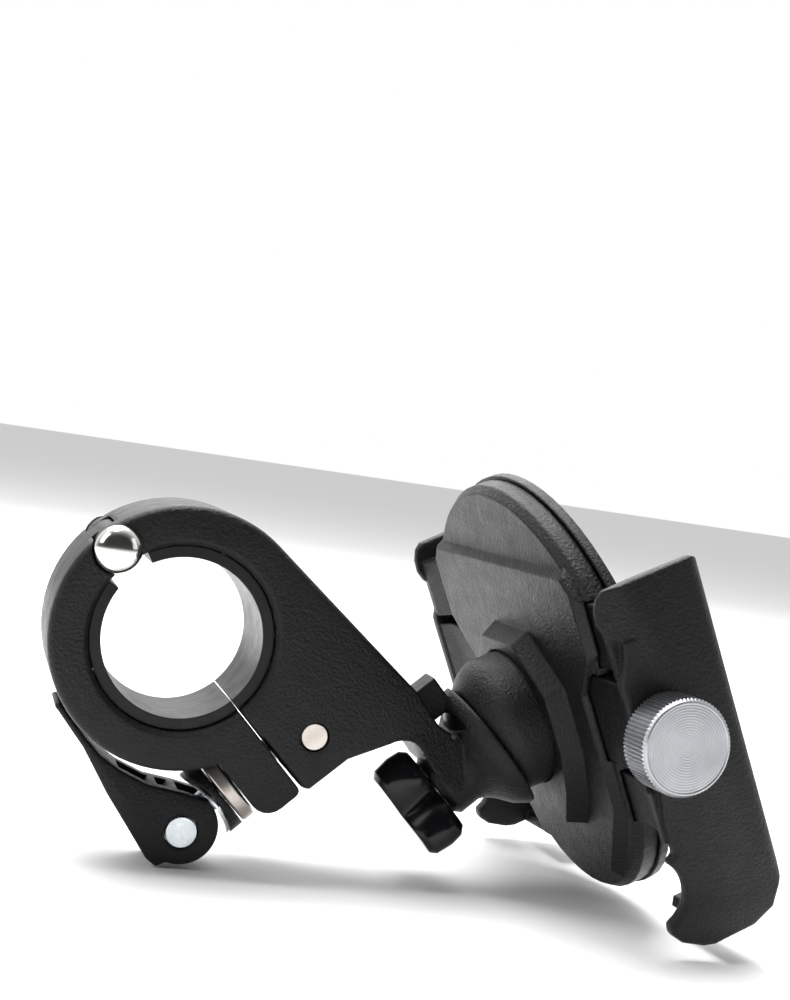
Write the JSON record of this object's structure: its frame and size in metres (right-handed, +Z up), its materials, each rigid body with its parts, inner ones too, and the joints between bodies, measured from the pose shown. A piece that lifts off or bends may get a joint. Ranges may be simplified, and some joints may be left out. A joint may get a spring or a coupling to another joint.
{
  "type": "handlebar phone mount",
  "caption": "Handlebar phone mount with a cam-lever split clamp, a lockable ball joint and a screw-driven two-jaw cradle",
  "frame": {"origin": "centre of the clamp's bore, at the middle of its width", "axes": "+Y along the handlebar, +Z up, +X towards the cradle"},
  "size_m": [0.1268, 0.0938, 0.0767],
  "materials": {
    "black_nylon": "fine moulded texture",
    "smooth_nylon": "smooth satin",
    "gloss_nylon": "gloss",
    "rubber": "soft matt",
    "polished_steel": "polished",
    "zinc_steel": "bright zinc plating",
    "brushed_nickel": "turned, nickel plated",
    "aluminium": "turned and knurled"
  },
  "bodies": {
    "clamp_body": {"clamp_arm": "black_nylon", "liner_fixed": "smooth_nylon", "hinge_pin": "polished_steel", "cross_pin": "brushed_nickel", "friction_ring": "smooth_nylon"},
    "clamp_jaw": {"swing_jaw": "black_nylon", "liner_swing": "smooth_nylon"},
    "rod": {"draw_rod": "zinc_steel", "cam_pin": "zinc_steel"},
    "saddle": {"thrust_ring": "brushed_nickel", "saddle_washer": "black_nylon", "saddle_plate": "zinc_steel"},
    "lever": {"cam_lever": "black_nylon"},
    "wing": {"wing_knob": "gloss_nylon", "wing_stud": "zinc_steel"},
    "swivel": {"clamp_nut": "zinc_steel"},
    "dome": {"ball_dome": "black_nylon"},
    "cradle": {"back_cover": "black_nylon", "retaining_ring": "smooth_nylon", "front_plate": "black_nylon", "front_pad": "rubber", "housing_screw_1": "zinc_steel", "housing_screw_2": "zinc_steel", "housing_screw_3": "zinc_steel", "housing_screw_4": "zinc_steel", "pinion_pin": "zinc_steel"},
    "near_slide_body": {"near_jaw": "black_nylon", "near_jaw_pad": "rubber", "near_foot_pad": "rubber", "screw_clip": "zinc_steel"},
    "far_slide_body": {"far_jaw": "black_nylon", "far_jaw_pad": "rubber", "far_foot_pad": "rubber", "screw_nut": "zinc_steel"},
    "screw_body": {"knob": "aluminium", "clamp_screw": "zinc_steel"},
    "pinion_body": {"pinion": "zinc_steel"}
  },
  "joints": [
    {"name": "clamp_open", "type": "hinge", "parent": "clamp_body", "child": "clamp_jaw", "pos_m": [-0.01308, 0, 0.01378], "axis": [0, 1, 0], "range_deg": [0, 1.21]},
    {"name": "rod_swing", "type": "hinge", "parent": "clamp_body", "child": "rod", "pos_m": [0.02509, 0, -0.01428], "axis": [0, -1, 0], "range_deg": [0, 60]},
    {"name": "cam_throw", "type": "hinge", "parent": "rod", "child": "lever", "pos_m": [0.00532, 0, -0.03439], "axis": [0, -1, 0], "range_deg": [0, 100]},
    {"name": "saddle_slide", "type": "slide", "parent": "rod", "child": "saddle", "axis": [-0.7009, 0, -0.7133], "range_m": [0, 0.00114]},
    {"name": "wing_turn", "type": "hinge", "parent": "clamp_body", "child": "wing", "pos_m": [0.0683, 0, -0.007], "axis": [0.7133, 0, 0.7009], "continuous": true},
    {"name": "ball_pan", "type": "hinge", "parent": "clamp_body", "child": "swivel", "pos_m": [0.0683, 0, -0.007], "axis": [0.7133, 0, 0.7009], "continuous": true},
    {"name": "ball_tilt", "type": "hinge", "parent": "swivel", "child": "dome", "pos_m": [0.0683, 0, -0.007], "axis": [-0.2363, 0.9415, 0.2404], "range_deg": [-38, 2]},
    {"name": "cradle_turn", "type": "hinge", "parent": "dome", "child": "cradle", "pos_m": [0.0683, 0, -0.007], "axis": [0.8861, 0.1072, 0.4509], "continuous": true},
    {"name": "near_slide", "type": "slide", "parent": "cradle", "child": "near_slide_body", "axis": [0.1201, -0.9928, 0], "range_m": [-0.003, 0.01]},
    {"name": "far_slide", "type": "slide", "parent": "cradle", "child": "far_slide_body", "axis": [-0.1201, 0.9928, 0], "range_m": [-0.003, 0.01]},
    {"name": "knob_turn", "type": "hinge", "parent": "near_slide_body", "child": "screw_body", "pos_m": [0.07711, -0.04124, -0.00363], "axis": [0.1201, -0.9928, 0], "range_deg": [-3086.7, 10286.7]},
    {"name": "pinion_spin", "type": "hinge", "parent": "cradle", "child": "pinion_body", "pos_m": [0.06387, -0.00054, 0.01181], "axis": [0.8861, 0.1072, 0.4509], "range_deg": [-58.3, 192]}
  ],
  "couplings": [
    {"joint": "clamp_open", "follows": "cam_throw", "ratio": 0.012},
    {"joint": "saddle_slide", "follows": "cam_throw", "m_per_rad": 0.00064744},
    {"joint": "near_slide", "follows": "knob_turn", "m_per_rad": 0.000055704},
    {"joint": "far_slide", "follows": "knob_turn", "m_per_rad": 0.000055704},
    {"joint": "pinion_spin", "follows": "knob_turn", "ratio": 0.018568}
  ]
}
